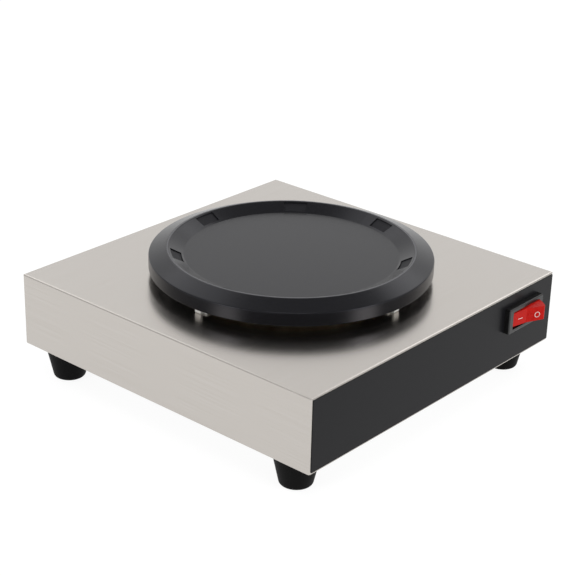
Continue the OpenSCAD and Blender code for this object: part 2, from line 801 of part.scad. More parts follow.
// Rivets that hold the standoffs to the steel top
module standoff_rivets() {
    color("#cfceca") for (a = QUARTERS) rotate(a) translate([rivet_at, 0, 0]) {
        translate([0, 0, body_top + standoff_t]) rotate_extrude()
            polygon(rounded([[0, 0, 0], [2.7, 0, 0], [2.7, 1, 0.7], [0, 1, 0]]));
        tube(m3_r, ceiling, body_top + standoff_t);
        tube(2.4, ceiling - 0.8, ceiling);
    }
}

module mica_disc(z, tails) {
    difference() {
        tube(mica_r, z, z + mica_t, heater_hole_r);
        if (tails) translate([0, 0, z - cut]) at_tails() cylinder(r = tail_hole_r, h = mica_t + 2 * cut);
    }
}

// Insulating disc between the dish floor and the track
module upper_mica() {
    color("#c8b48a") mica_disc(track_top, false);
}

// Resistance track: rings cut at the front and bridged in turn, ending in two pads over the tails
module heating_track() {
    outer = mica_r - 4;
    bridge_x = (track_pitch + track_w) / 2 - track_lap;
    color("#7d7f84") translate([0, 0, lower_mica_top]) linear_extrude(track_t) {
        for (i = [0:track_n - 1]) difference() {
            circle(r = outer - i * track_pitch);
            circle(r = outer - i * track_pitch - track_w);
            translate([-track_pitch / 2, -outer - cut]) square([track_pitch, outer + cut]);
        }
        for (i = [0:track_n - 2]) {
            side = i % 2 == 0 ? 1 : -1;
            translate([side * bridge_x - track_w / 2, -outer + i * track_pitch + track_lap])
                square([track_w, track_pitch + track_w - 2 * track_lap]);
        }
        at_tails() circle(r = tail_r + 2.4);
    }
}

// Insulating disc under the track
module lower_mica() {
    color("#c8b48a") mica_disc(clamp_top, true);
}

// Pressed steel plate that holds the heater stack against the dish floor
module clamp_plate() {
    color("#9b9da0") difference() {
        tube(clamp_r, clamp_low, clamp_top, stud_hole_r);
        translate([0, 0, clamp_low - cut]) at_tails() cylinder(r = tail_hole_r, h = clamp_t + 2 * cut);
    }
}

// Sleeve on the stud between the clamp plate and the heat shield
module stud_sleeve() {
    color("#b4b3b0") tube(stud_r + 2.5, shield_top, clamp_low, stud_hole_r);
}

// Bright pressed pan that turns the heat back up; its rim stands on the steel top
module heat_shield() {
    slope = 2 * shield_lift;
    ledge = shield_r - 5;
    color("#c9cbcd") difference() {
        rotate_extrude() polygon([
            [stud_hole_r, body_top + shield_lift], [ledge - slope, body_top + shield_lift],
            [ledge, body_top], [shield_r, body_top], [shield_r, body_top + shield_t],
            [ledge, body_top + shield_t], [ledge - slope, shield_top], [stud_hole_r, shield_top]
        ]);
        translate([0, 0, body_top - cut]) {
            at_tails() cylinder(r = bushing_r + slip, h = shield_lift + shield_t + 2 * cut);
            at_stat() cylinder(r = stat_hole_r, h = shield_lift + shield_t + 2 * cut);
        }
    }
}

// Spacer on the stud between the heat shield and the steel top
module shield_spacer() {
    color("#b4b3b0") tube(stud_r + 4, body_top, body_top + shield_lift, stud_hole_r);
}

// Stud screwed into the plate's boss, through the top
module plate_stud() {
    color("#b4b3b0") tube(stud_r, ceiling - washer_t - stud_r * 1.6 - 2.5, stud_top);
}

// Washer between the stud's nut and the steel top
module stud_washer() {
    color("#b4b3b0") tube(2.1 * stud_r, ceiling - washer_t, ceiling, stud_hole_r);
}

// Nut that draws the plate down on its standoffs
module stud_nut() {
    color("#b9b7b2") hex_nut(
        3.33 * stud_r, ceiling - washer_t - stud_r * 1.6, ceiling - washer_t, stud_r + thread_gap);
}

// Pins that bring the track's two ends down through the top
module tail_pins() {
    color("#a9a9a4") at_tails() tube(tail_r, ceiling - tail_drop, lower_mica_top);
}

// Flanged ceramic bushings round the tail pins
module tail_bushings() {
    color("#e8e4da") at_tails() difference() {
        union() {
            tube(bushing_r, ceiling - bushing_drop, shield_top + bushing_rise);
            tube(bushing_r + bushing_wall, ceiling - bushing_flange_t, ceiling);
        }
        tube(tail_r + thread_gap, ceiling - bushing_drop - cut, shield_top + bushing_rise + cut);
    }
}

// Snap-disc thermostat: metal cap against the clamp plate, flange under the top, phenolic body
module thermostat() {
    color("#6b4a34") at_stat() rotate_extrude() polygon(rounded([
        [0, stat_low, 0], [stat_body_r, stat_low, 0.8], [stat_body_r, ceiling - stat_flange_t, 0],
        [stat_flange_r, ceiling - stat_flange_t, 0], [stat_flange_r, ceiling, 0],
        [stat_r, ceiling, 0], [stat_r, clamp_low, 0.6], [0, clamp_low, 0]
    ]));
}

// Two blade terminals under the thermostat
module thermostat_blades() {
    color("#c9a24a") at_stat() for (s = [-1, 1])
        translate([s * stat_blade_x - blade_t / 2, -blade_w / 2, stat_low - stat_blade_l])
            cube([blade_t, blade_w, stat_blade_l]);
}

// Pressed hat-shaped strap that holds the thermostat's flange up to the top
module thermostat_strap() {
    low = ceiling - stat_flange_t;
    half = [
        [stat_body_r + slip, low], [strap_reach - strap_t, low], [strap_reach - strap_t, ceiling],
        [strap_reach + strap_foot, ceiling], [strap_reach + strap_foot, ceiling - strap_t],
        [strap_reach, ceiling - strap_t], [strap_reach, low - strap_t],
        [stat_body_r + slip, low - strap_t]
    ];
    strap_w = 2 * stat_body_r + 6;
    color("#a9a8a6") at_stat() difference() {
        union() {
            for (s = [0, 1]) mirror([s, 0, 0]) rotate([90, 0, 0])
                linear_extrude(strap_w, center = true) polygon(half);
            for (s = [0, 1]) mirror([0, s, 0])
                translate([-stat_body_r - cut, stat_body_r + slip, low - strap_t])
                    cube([2 * (stat_body_r + cut), strap_w / 2 - stat_body_r - slip, strap_t]);
        }
        for (s = [-1, 1]) translate([s * strap_screw_x, 0, low])
            cylinder(r = m3_r + hole_gap, h = stat_flange_t + cut);
    }
}

// Screws that hold the strap to the top
module strap_screws() {
    color("#b4b3b0") at_strap_screws()
        screw_up(m3_r, pan_r * m3_r, ceiling - strap_t, body_top + shield_lift - slip);
}

// One-shot thermal fuse with its two end wires
module thermal_fuse() {
    color("#d8d2b8") translate([-fuse_x, 0, fuse_z]) rotate([90, 0, 0]) {
        cylinder(r = fuse_r, h = fuse_l, center = true);
        cylinder(r = 0.6, h = fuse_l + 2 * fuse_tip, center = true);
    }
}

// Spring clip that holds the fuse under the top
module fuse_clip() {
    clip_l = 6;
    clip_r = fuse_r + thread_gap;
    side_h = ceiling - clip_t - fuse_z;
    color("#a9a8a6") translate([-fuse_x, 0, 0]) difference() {
        union() {
            translate([-5, -clip_l / 2, ceiling - clip_t]) cube([10, clip_l, clip_t]);
            translate([0, 0, fuse_z]) rotate([90, 0, 0]) difference() {
                union() {
                    cylinder(r = clip_r + clip_t, h = clip_l, center = true);
                    for (s = [-1, 1]) translate([s * (clip_r + clip_t / 2), side_h / 2, 0])
                        cube([clip_t, side_h + 0.1, clip_l], center = true);
                }
                cylinder(r = clip_r, h = clip_l + 2 * cut, center = true);
                translate([-1.2, -2 * clip_r, -clip_l]) cube([2.4, 2 * clip_r, 2 * clip_l]);
                translate([-clip_r, 0, -clip_l]) cube([2 * clip_r, 2 * clip_r, 2 * clip_l]);
            }
        }
        translate([0, 0, ceiling - clip_t - cut]) cylinder(r = m3_r + hole_gap, h = clip_t + 2 * cut);
    }
}

// Rivet that holds the fuse clip
module clip_rivet() {
    color("#cfceca") translate([-fuse_x, 0, 0]) {
        tube(m3_r + 0.4, ceiling - clip_t - 0.7, ceiling - clip_t);
        tube(m3_r, ceiling - clip_t, body_top);
        tube(2.4, body_top, body_top + 0.8);
    }
}

// Places of the terminal block's four poles, left to right
POLES = [for (i = [0:3]) (i - 1.5) * pole_pitch];

// Ceramic terminal block with a through bore and a screw well for each pole
module terminal_block() {
    color("#e8e4da") difference() {
        translate([block_x, block_y, base_top]) linear_extrude(block_h)
            polygon(rounded(rectangle(block_l, block_d, 1.5)));
        for (x = POLES) translate([block_x + x, block_y, bore_z]) {
            rotate([90, 0, 0]) cylinder(r = pole_r + 0.8, h = block_d + 2 * cut, center = true);
            cylinder(r = m3_r + 0.6, h = block_h);
        }
        at_block_screws() {
            translate([0, 0, base_top - cut]) cylinder(r = m3_r + hole_gap, h = block_h + 2 * cut);
            translate([0, 0, base_top + block_web]) cylinder(r = block_ear - 0.4 + m3_r, h = block_h);
        }
    }
}

// Brass clamp tubes in the block, each with its pinch screw
module block_clamps() {
    color("#c9a24a") for (x = POLES) translate([block_x + x, block_y, bore_z]) {
        rotate([90, 0, 0]) difference() {
            cylinder(r = pole_r + 0.75, h = block_d - 4, center = true);
            cylinder(r = pole_r, h = block_d, center = true);
        }
        translate([0, 0, pole_r + 0.4]) cylinder(r = m3_r, h = block_h / 2 - pole_r - 1.4);
    }
}

// Screws that hold the block to the base plate
module block_screws() {
    color("#b4b3b0") at_block_screws()
        screw_down(m3_r, pan_r * m3_r, base_top + block_web, foot_h - screw_past);
}

// Earth screw, from under the base plate
module earth_screw() {
    color("#c9a24a") translate([earth_x, earth_y, 0])
        screw_up(m4_r, pan_r * m4_r, foot_h, base_top + lug_t + nut_h + screw_past);
}

// Ring lug on the earth screw, with a crimp barrel towards the front
module earth_lug() {
    barrel_r = lead_r + 0.6;
    color("#c9a24a") translate([earth_x, earth_y, base_top]) {
        difference() {
            union() {
                cylinder(r = 2 * m4_r, h = lug_t);
                translate([-barrel_r, -lug_l, 0]) cube([2 * barrel_r, lug_l, lug_t]);
            }
            translate([0, 0, -cut]) cylinder(r = m4_r + hole_gap, h = lug_t + 2 * cut);
        }
        translate([0, -lug_l, barrel_r]) rotate([90, 0, 0]) difference() {
            translate([0, 0, -2.5]) cylinder(r = barrel_r, h = 5);
            translate([0, 0, -2.5 - cut]) cylinder(r = lead_r + slip, h = 5 + 2 * cut);
        }
    }
}

// Nut on the earth screw
module earth_nut() {
    color("#b9b7b2") translate([earth_x, earth_y, 0])
        hex_nut(3.5 * m4_r, base_top + lug_t, base_top + lug_t + nut_h, m4_r + thread_gap);
}

// Moulded cord gland: domed head outside the rear wall, threaded neck inside
module cord_gland() {
    color("#242425") translate([gland_x, body_d / 2, gland_z]) rotate([-90, 0, 0]) difference() {
        union() {
            rotate_extrude() polygon(rounded([
                [0, 0, 0], [neck_r + 4, 0, 0], [neck_r + 4, 2.6, 0.6], [neck_r + 2.6, 2.6, 0],
                [neck_r + 1.4, gland_proud, 2], [0, gland_proud, 0]
            ]));
            translate([0, 0, -sheet_t - neck_in]) cylinder(r = neck_r, h = sheet_t + neck_in + cut);
        }
        translate([0, 0, -sheet_t - neck_in - cut])
            cylinder(r = gland_bore_r, h = sheet_t + neck_in + gland_proud + 2 * cut);
    }
}

// Lock nut on the gland's neck, inside the rear wall
module gland_nut() {
    color("#242425") translate([gland_x, in_d / 2, gland_z]) rotate([90, 0, 0])
        hex_nut(2 * neck_r + gland_nut_grip, 0, gland_nut_h, neck_r + thread_gap);
}

// Ends of the leads
function pole_end(i) = [block_x + POLES[i], block_y - block_d / 2 + pole_grip, bore_z];
function pole_mouth(i) = pole_end(i) - [0, pole_run, 0];
function switch_end(x) = [switch_x + x, pivot_y + blade_tip + slip, switch_z];
function switch_mouth(x) = switch_end(x) + [0, switch_run, 0];
function stat_end(s) = [s * stat_blade_x, stat_y, stat_low - stat_blade_l - slip];
function tail_end(s) = [s * tail_x, -tail_y, ceiling - tail_drop - slip];
function fuse_end(s) = [-fuse_x, s * (fuse_l / 2 + fuse_tip + slip), fuse_z];
earth_end = [earth_x, earth_y - lug_l - 0.5, base_top + lead_r + 0.6];
// Height at which the leads cross the middle of the housing
cross_z = base_top + 6;

module insulated(c) {
    color(c) children();
}

// Live lead from the block to the switch's middle blade
module live_lead() {
    insulated("#7a4a2a") lead([
        pole_end(3), pole_mouth(3), [switch_x, 6, switch_z - 12],
        switch_mouth(0) + [0, 14, -3], switch_mouth(0), switch_end(0)
    ]);
}

// Lead from the switch to the thermostat
module switched_lead() {
    insulated("#7a4a2a") lead([
        switch_end(blade_x), switch_mouth(blade_x), switch_mouth(blade_x) + [-4, 18, -14],
        [switch_x - 20, -20, cross_z], [14, 20, cross_z], stat_end(1) - [0, 0, 8],
        stat_end(1) - [0, 0, 3], stat_end(1)
    ]);
}

// Lead from the switch's lamp blade back to the block
module lamp_lead() {
    insulated("#3f6fa8") lead([
        switch_end(-blade_x), switch_mouth(-blade_x), switch_mouth(-blade_x) + [-3, 30, -4],
        [block_x + 10, 10, switch_z - 10], pole_mouth(2), pole_end(2)
    ]);
}

// Neutral lead from the block to the right-hand tail
module neutral_lead() {
    insulated("#3f6fa8") lead([
        pole_end(1), pole_mouth(1), [tail_x + 12, 10, cross_z + 10],
        [tail_x, -tail_y + 12, cross_z + 14], tail_end(1) - [0, 0, 9], tail_end(1)
    ]);
}

// Lead from the thermostat to the fuse
module fuse_lead_in() {
    insulated("#d9d4c4") lead([
        stat_end(-1), stat_end(-1) - [0, 0, 3], stat_end(-1) - [0, 0, 8],
        [-fuse_x + 8, stat_y + 2, cross_z + 8], [-fuse_x, stat_y - 4, fuse_z - 8],
        fuse_end(1) + [0, 8, 0], fuse_end(1)
    ]);
}

// Lead from the fuse to the left-hand tail
module fuse_lead_out() {
    insulated("#d9d4c4") lead([
        fuse_end(-1), fuse_end(-1) - [0, 8, 0], [-fuse_x + 4, -tail_y + 4, fuse_z - 10],
        tail_end(-1) - [2, 0, 12], tail_end(-1) - [0, 0, 5], tail_end(-1)
    ]);
}

// Earth lead from the block to the lug
module earth_lead() {
    insulated("#5f8f3a") lead([
        pole_end(0), pole_mouth(0), pole_mouth(0) - [12, 8, 1],
        [earth_x + 6, earth_end.y - 22, base_top + 4], earth_end - [0, 10, 0],
        earth_end - [0, 4, 0], earth_end
    ]);
}

housing_shell();
base_plate();
corner_brackets();
weld_nuts();
foot_front_left();
foot_front_right();
foot_rear_left();
foot_rear_right();
foot_screws();
foot_washers();
front_overlay();
switch_housing();
line_terminal();
load_terminal();
lamp_terminal();
switch_rocker();
rocker_plunger();
plunger_spring();
neon_lamp();
contact_arm();
warming_plate();
rim_standoffs();
standoff_rivets();
upper_mica();
heating_track();
lower_mica();
clamp_plate();
stud_sleeve();
heat_shield();
shield_spacer();
plate_stud();
stud_washer();
stud_nut();
tail_pins();
tail_bushings();
thermostat();
thermostat_blades();
thermostat_strap();
strap_screws();
thermal_fuse();
fuse_clip();
clip_rivet();
terminal_block();
block_clamps();
block_screws();
earth_screw();
earth_lug();
earth_nut();
cord_gland();
gland_nut();
live_lead();
switched_lead();
lamp_lead();
neutral_lead();
fuse_lead_in();
fuse_lead_out();
earth_lead();
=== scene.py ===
"""Decanter warmer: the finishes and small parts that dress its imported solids, in metres."""

import json
import math

import bmesh
import bpy
from mathutils import Matrix, Vector


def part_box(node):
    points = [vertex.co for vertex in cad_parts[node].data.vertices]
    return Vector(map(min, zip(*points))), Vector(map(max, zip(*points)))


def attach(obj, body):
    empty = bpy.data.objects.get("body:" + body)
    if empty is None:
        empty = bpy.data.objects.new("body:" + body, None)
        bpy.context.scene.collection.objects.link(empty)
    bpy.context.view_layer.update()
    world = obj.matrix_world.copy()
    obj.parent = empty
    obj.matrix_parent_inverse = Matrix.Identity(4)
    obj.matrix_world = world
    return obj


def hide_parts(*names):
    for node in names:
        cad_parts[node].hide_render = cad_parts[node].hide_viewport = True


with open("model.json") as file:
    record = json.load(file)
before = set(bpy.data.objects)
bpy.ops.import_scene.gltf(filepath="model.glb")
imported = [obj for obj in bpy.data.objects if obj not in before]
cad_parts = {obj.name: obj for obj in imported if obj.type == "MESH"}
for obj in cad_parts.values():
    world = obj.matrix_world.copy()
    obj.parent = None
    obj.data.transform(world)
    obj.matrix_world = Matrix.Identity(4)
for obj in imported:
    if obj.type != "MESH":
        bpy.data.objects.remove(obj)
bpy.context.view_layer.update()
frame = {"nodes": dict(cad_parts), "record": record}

# Camera: a long lens from the front left corner, a little above the plate.
# It stands where the photograph was taken from and is rolled by a degree or so.
VIEW_AZIMUTH = -49.30
VIEW_ELEVATION = 24.40
VIEW_ROLL = 1.49
LENS_MM = 100.9
SENSOR_MM = 36
NEAR, FAR = 0.05, 50
CAMERA_AT = Vector((-0.5962, -0.5110, 0.4047))

azimuth, elevation = math.radians(VIEW_AZIMUTH), math.radians(VIEW_ELEVATION)
looking = Vector((
    -math.sin(azimuth) * math.cos(elevation),
    math.cos(azimuth) * math.cos(elevation),
    -math.sin(elevation),
))
level = looking.cross(Vector((0, 0, 1))).normalized()
upright = level.cross(looking)
roll = math.radians(VIEW_ROLL)
across = math.cos(roll) * level + math.sin(roll) * upright
upward = -math.sin(roll) * level + math.cos(roll) * upright
camera = bpy.data.objects.new("camera", bpy.data.cameras.new("camera"))
camera.data.lens = LENS_MM
camera.data.sensor_width = SENSOR_MM
camera.data.clip_start = NEAR
camera.data.clip_end = FAR
camera.matrix_world = Matrix((
    (across.x, upward.x, -looking.x, CAMERA_AT.x),
    (across.y, upward.y, -looking.y, CAMERA_AT.y),
    (across.z, upward.z, -looking.z, CAMERA_AT.z),
    (0, 0, 0, 1),
))
bpy.context.collection.objects.link(camera)
bpy.context.scene.camera = camera
bpy.context.scene.view_settings.view_transform = "Standard"


# Studio: white paper that runs out of sight, in a white room with a dim ceiling.
# Dim flags behind the camera and at both sides are what the plate's skirt and rim mirror.
# Two upright soft boxes, a key lamp overhead and two strips at the back draw the light on edges and folds.
def linear(colour):
    """The linear colour, with alpha 1, of an sRGB hex value such as "#8a5b2c"."""
    parts = [int(colour[i:i + 2], 16) / 255 for i in (1, 3, 5)]
    return [p / 12.92 if p <= 0.04045 else ((p + 0.055) / 1.055) ** 2.4 for p in parts] + [1.0]


def add(tree, kind, links=None, values=None, **settings):
    """Adds a node with its settings, socket values and (socket: (node, output)) links."""
    made = tree.nodes.new(kind)
    for name, value in settings.items():
        setattr(made, name, value)
    for name, value in (values or {}).items():
        made.inputs[name].default_value = value
    for name, (source, output) in (links or {}).items():
        tree.links.new(source.outputs[output], made.inputs[name])
    return made


def set_out(name, mesh, material):
    """Puts a mesh with one material into the scene."""
    made = bpy.data.objects.new(name, mesh)
    made.data.materials.append(material)
    bpy.context.collection.objects.link(made)
    return made


FLOOR_HALF = 4.0
FLOOR_WHITE = "#f7f7f6"
SHADOW_SHARE = 0.15
FLOOR_GLOW = 0.91

# White seamless paper: it lights the object as white paper does, and is seen as white with a faint shadow.
paper = bpy.data.materials.new("white_seamless_paper")
paper.use_nodes = True
tree = paper.node_tree
tree.nodes.clear()
rays = add(tree, "ShaderNodeLightPath")
direct = add(tree, "ShaderNodeMath", {0: (rays, "Is Camera Ray"), 1: (rays, "Is Glossy Ray")},
             operation="MAXIMUM")
seen = add(tree, "ShaderNodeMath", {0: (direct, "Value"), 1: (rays, "Is Transmission Ray")},
           operation="MAXIMUM")
lighting = add(tree, "ShaderNodeBsdfDiffuse", values={"Color": linear(FLOOR_WHITE)})
shadow = add(tree, "ShaderNodeBsdfDiffuse", values={"Color": [SHADOW_SHARE] * 3 + [1.0]})
glow = add(tree, "ShaderNodeEmission", values={"Strength": FLOOR_GLOW})
shown = add(tree, "ShaderNodeAddShader", {0: (shadow, "BSDF"), 1: (glow, "Emission")})
either = add(tree, "ShaderNodeMixShader",
             {0: (seen, "Value"), 1: (lighting, "BSDF"), 2: (shown, "Shader")})
add(tree, "ShaderNodeOutputMaterial", {"Surface": (either, "Shader")})

corners = [(x * FLOOR_HALF, y * FLOOR_HALF, 0) for x, y in ((-1, -1), (1, -1), (1, 1), (-1, 1))]
floor_mesh = bpy.data.meshes.new("floor")
floor_mesh.from_pydata(corners, [], [(0, 1, 2, 3)])
floor = set_out("floor", floor_mesh, paper)

# Each dim part of the room: its middle, whether it has a twin opposite, the cosines at which it starts and
# is full, and its glow, where the walls' is 1.
DIM_PARTS = {
    "ceiling": (Vector((0, 0, 1)), False, 0.50, 0.80, 0.42),
    "flag_behind_camera": (-looking, False, 0.70, 0.85, 0.40),
    "flags_at_sides": (level, True, 0.72, 0.86, 0.65),
}
WALL_GLOW = 1.0
room = bpy.data.worlds.new("white_room")
room.use_nodes = True
tree = room.node_tree
tree.nodes.clear()
direction = add(tree, "ShaderNodeTexCoord")
room_glow = add(tree, "ShaderNodeValue")
room_glow.outputs["Value"].default_value = WALL_GLOW
for middle, twin, starts, full, dim_glow in DIM_PARTS.values():
    nearness = add(tree, "ShaderNodeVectorMath", {0: (direction, "Generated")}, {1: middle},
                   operation="DOT_PRODUCT")
    if twin:
        nearness = add(tree, "ShaderNodeMath", {0: (nearness, "Value")}, operation="ABSOLUTE")
    shade = add(tree, "ShaderNodeMapRange", {"Value": (nearness, "Value")},
                {"From Min": starts, "From Max": full, "To Min": 1.0, "To Max": dim_glow},
                interpolation_type="SMOOTHSTEP")
    room_glow = add(tree, "ShaderNodeMath", {0: (room_glow, "Value"), 1: (shade, "Result")},
                    operation="MULTIPLY")
rays = add(tree, "ShaderNodeLightPath")
walls = add(tree, "ShaderNodeBackground", {"Strength": (room_glow, "Value")}, {"Color": (1, 1, 1, 1)})
white = add(tree, "ShaderNodeBackground", values={"Color": (1, 1, 1, 1), "Strength": 1.0})
either = add(tree, "ShaderNodeMixShader",
             {0: (rays, "Is Camera Ray"), 1: (walls, "Background"), 2: (white, "Background")})
add(tree, "ShaderNodeOutputWorld", {"Surface": (either, "Shader")})
bpy.context.scene.world = room

# Each lamp: degrees round from the camera, degrees up, distance, width, height and brightness of its face.
LAMPS = {
    "key_lamp": (0, 64, 2.0, 1.0, 0.8, 2.2),
    "left_box": (-50, 24.5, 1.5, 0.45, 0.8, 4.2),
    "right_box": (60, 24.5, 1.5, 0.45, 0.8, 5.5),
    "left_strip": (-135, 50, 1.5, 1.1, 0.7, 1.0),
    "right_strip": (133, 42, 1.5, 1.1, 0.45, 1.2),
}
towards_camera = Vector((-looking.x, -looking.y, 0)).normalized()
for name, (turn, up, distance, width, tall, brightness) in LAMPS.items():
    lamp = bpy.data.objects.new(name, bpy.data.lights.new(name, "AREA"))
    lamp.data.shape = "RECTANGLE"
    lamp.data.size, lamp.data.size_y = width, tall
    lamp.data.energy = brightness * math.pi * width * tall
    lamp.visible_camera = False
    aim = Matrix.Rotation(math.radians(turn), 3, "Z") @ towards_camera
    rise = math.radians(up)
    lamp.location = distance * (math.cos(rise) * aim + math.sin(rise) * Vector((0, 0, 1)))
    lamp.rotation_euler = (-lamp.location).to_track_quat("-Z", "Y").to_euler()
    bpy.context.collection.objects.link(lamp)

# Housing: one stainless sheet, folded down on four sides, with a long-grain brushed finish.
# The grain runs across the width on the top, front and back, and front to back on the sides.
MM = 0.001
STEEL_DARK = "#c0bbb5"
STEEL_LIGHT = "#c5c0bb"
STEEL_SMOOTH, STEEL_ROUGH = 0.22, 0.25
GRAIN_WIDTH = 0.5 * MM
GRAIN_LENGTH = 60 * MM
STREAK_RELIEF, STREAK_DEEP = 0.02, 0.05 * MM
FACES_SIDEWAYS = 0.7
NOISE_LOW, NOISE_HIGH = 0.3, 0.7
solids = frame["nodes"]


def finish_of(name):
    """A new material with its node tree and Principled shader."""
    made = bpy.data.materials.new(name)
    made.use_nodes = True
    return made, made.node_tree, made.node_tree.nodes["Principled BSDF"]


def dress(material, *names):
    """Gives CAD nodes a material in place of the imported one."""
    for name in names:
        solids[name].data.materials.clear()
        solids[name].data.materials.append(material)


# Brushed stainless steel: a mirror blurred along fine lines, with faint streaks of brighter and duller metal.
# Real grain is finer than a tenth of a millimetre, so it is drawn coarse enough to show.
stainless, tree, shader = finish_of("brushed_stainless_steel")
place = add(tree, "ShaderNodeTexCoord")
along_width = add(tree, "ShaderNodeVectorMath", {0: (place, "Object")},
                  {1: (1 / GRAIN_LENGTH, 1 / GRAIN_WIDTH, 1 / GRAIN_WIDTH)}, operation="MULTIPLY")
along_depth = add(tree, "ShaderNodeVectorMath", {0: (place, "Object")},
                  {1: (1 / GRAIN_WIDTH, 1 / GRAIN_LENGTH, 1 / GRAIN_WIDTH)}, operation="MULTIPLY")
facing = add(tree, "ShaderNodeSeparateXYZ", {0: (place, "Normal")})
sideways = add(tree, "ShaderNodeMath", {0: (facing, "X")}, operation="ABSOLUTE")
side_face = add(tree, "ShaderNodeMath", {0: (sideways, "Value")}, {1: FACES_SIDEWAYS},
                operation="GREATER_THAN")
grain_at = add(tree, "ShaderNodeMix",
               {"Factor": (side_face, "Value"), 4: (along_width, "Vector"), 5: (along_depth, "Vector")},
               data_type="VECTOR")
grain = add(tree, "ShaderNodeTexNoise", {"Vector": (grain_at, 1)},
            {"Scale": 1.0, "Detail": 3.0, "Roughness": 0.6})
tone = add(tree, "ShaderNodeMapRange", {"Value": (grain, "Fac")},
           {"From Min": NOISE_LOW, "From Max": NOISE_HIGH})
metal = add(tree, "ShaderNodeMix", {"Factor": (tone, "Result")},
            {6: linear(STEEL_DARK), 7: linear(STEEL_LIGHT)}, data_type="RGBA")
tree.links.new(metal.outputs[2], shader.inputs["Base Color"])
dull = add(tree, "ShaderNodeMapRange", {"Value": (tone, "Result")},
           {"To Min": STEEL_SMOOTH, "To Max": STEEL_ROUGH})
tree.links.new(dull.outputs["Result"], shader.inputs["Roughness"])
streaks = add(tree, "ShaderNodeBump", {"Height": (grain, "Fac")},
              {"Strength": STREAK_RELIEF, "Distance": STREAK_DEEP})
tree.links.new(streaks.outputs["Normal"], shader.inputs["Normal"])
shader.inputs["Metallic"].default_value = 1.0
dress(stainless, "housing_shell")

# Base plate, corner brackets, clamp plate and straps: zinc-coated sheet, pressed and left bare.
# The coating has a faint crystal pattern, a few millimetres across.
ZINC_DARK = "#9c9d9b"
ZINC_LIGHT = "#b3b4b2"
ZINC_SMOOTH, ZINC_ROUGH = 0.28, 0.46
SPANGLE = 4 * MM

# Zinc-coated sheet: a pale grey metal in flat patches, each with its own tone and shine.
zinc_sheet, tree, shader = finish_of("zinc_coated_sheet")
place = add(tree, "ShaderNodeTexCoord")
crystals = add(tree, "ShaderNodeTexVoronoi", {"Vector": (place, "Object")}, {"Scale": 1 / SPANGLE})
facet = add(tree, "ShaderNodeSeparateColor", {"Color": (crystals, "Color")})
tint = add(tree, "ShaderNodeMix", {"Factor": (facet, "Red")},
           {6: linear(ZINC_DARK), 7: linear(ZINC_LIGHT)}, data_type="RGBA")
tree.links.new(tint.outputs[2], shader.inputs["Base Color"])
shine = add(tree, "ShaderNodeMapRange", {"Value": (facet, "Green")},
            {"To Min": ZINC_SMOOTH, "To Max": ZINC_ROUGH})
tree.links.new(shine.outputs["Result"], shader.inputs["Roughness"])
shader.inputs["Metallic"].default_value = 1.0
dress(zinc_sheet, "base_plate", "corner_brackets", "clamp_plate", "thermostat_strap", "fuse_clip")

# Nuts, washers, rivets, sleeves and the plate's stud: turned steel with a bright zinc plating.
# Turning and tumbling leave fine marks that break up the shine.
RELIEF_SHARE = 1 / 8


def grained(name, dark, light, grain, smooth, rough, relief=0.1, metallic=0.0, specular=0.5):
    """A finish whose tone, roughness and relief follow a noise with grains of a real size."""
    made, tree, shader = finish_of(name)
    place = add(tree, "ShaderNodeTexCoord")
    noise = add(tree, "ShaderNodeTexNoise", {"Vector": (place, "Object")},
                {"Scale": 1 / grain, "Detail": 3.0})
    tone = add(tree, "ShaderNodeMapRange", {"Value": (noise, "Fac")},
               {"From Min": NOISE_LOW, "From Max": NOISE_HIGH})
    tint = add(tree, "ShaderNodeMix", {"Factor": (tone, "Result")},
               {6: linear(dark), 7: linear(light)}, data_type="RGBA")
    shine = add(tree, "ShaderNodeMapRange", {"Value": (tone, "Result")}, {"To Min": smooth, "To Max": rough})
    skin = add(tree, "ShaderNodeBump", {"Height": (noise, "Fac")},
               {"Strength": relief, "Distance": grain * RELIEF_SHARE})
    tree.links.new(tint.outputs[2], shader.inputs["Base Color"])
    tree.links.new(shine.outputs["Result"], shader.inputs["Roughness"])
    tree.links.new(skin.outputs["Normal"], shader.inputs["Normal"])
    shader.inputs["Metallic"].default_value = metallic
    shader.inputs["Specular IOR Level"].default_value = specular
    return made


# Zinc-plated steel: bright and slightly blue, a little uneven where the barrel tumbled it.
plated = grained("zinc_plated_steel", "#a9aaab", "#c4c4c2",
                 grain=0.8 * MM, smooth=0.22, rough=0.38, metallic=1.0)
dress(plated, "weld_nuts", "foot_washers", "standoff_rivets", "stud_sleeve", "shield_spacer", "plate_stud",
      "stud_washer", "stud_nut", "strap_screws", "clip_rivet", "block_screws", "earth_nut")

# Feet: tapered blocks of black rubber, moulded, each screwed up through a recess in its underside.
# The rubber is nearly matt, with the fine grain of its mould.
FEET = ["foot_front_left", "foot_front_right", "foot_rear_left", "foot_rear_right"]
rubber = grained("moulded_black_rubber", "#080808", "#0d0d0d",
                 grain=0.6 * MM, smooth=0.5, rough=0.65, relief=0.12, specular=0.07)
dress(rubber, *FEET)

# Foot screws: pan heads with a cross recess, cold headed, zinc plated and driven up into weld nuts.
# The head has a soft dome, and the punched recess narrows towards its floor.
HEAD_R, HEAD_TALL = 3.6 * MM, 2.4 * MM
LAND_R = 2.415 * MM
DOME_R, DOME_DROP, EDGE_DROP = 3.06 * MM, 0.3 * MM, 0.72 * MM
SHANK_R, TIP = 2.0 * MM, 0.4 * MM
MOUTH_ARM, MOUTH_HALF = 2.1 * MM, 0.5 * MM
RECESS_ARM, RECESS_HALF, RECESS_DEEP = 1.26 * MM, 0.4 * MM, 1.4 * MM
ROUND_STEPS = 64
SHARP_FROM = 35
round_turns = [2 * math.pi * i / ROUND_STEPS for i in range(ROUND_STEPS)]


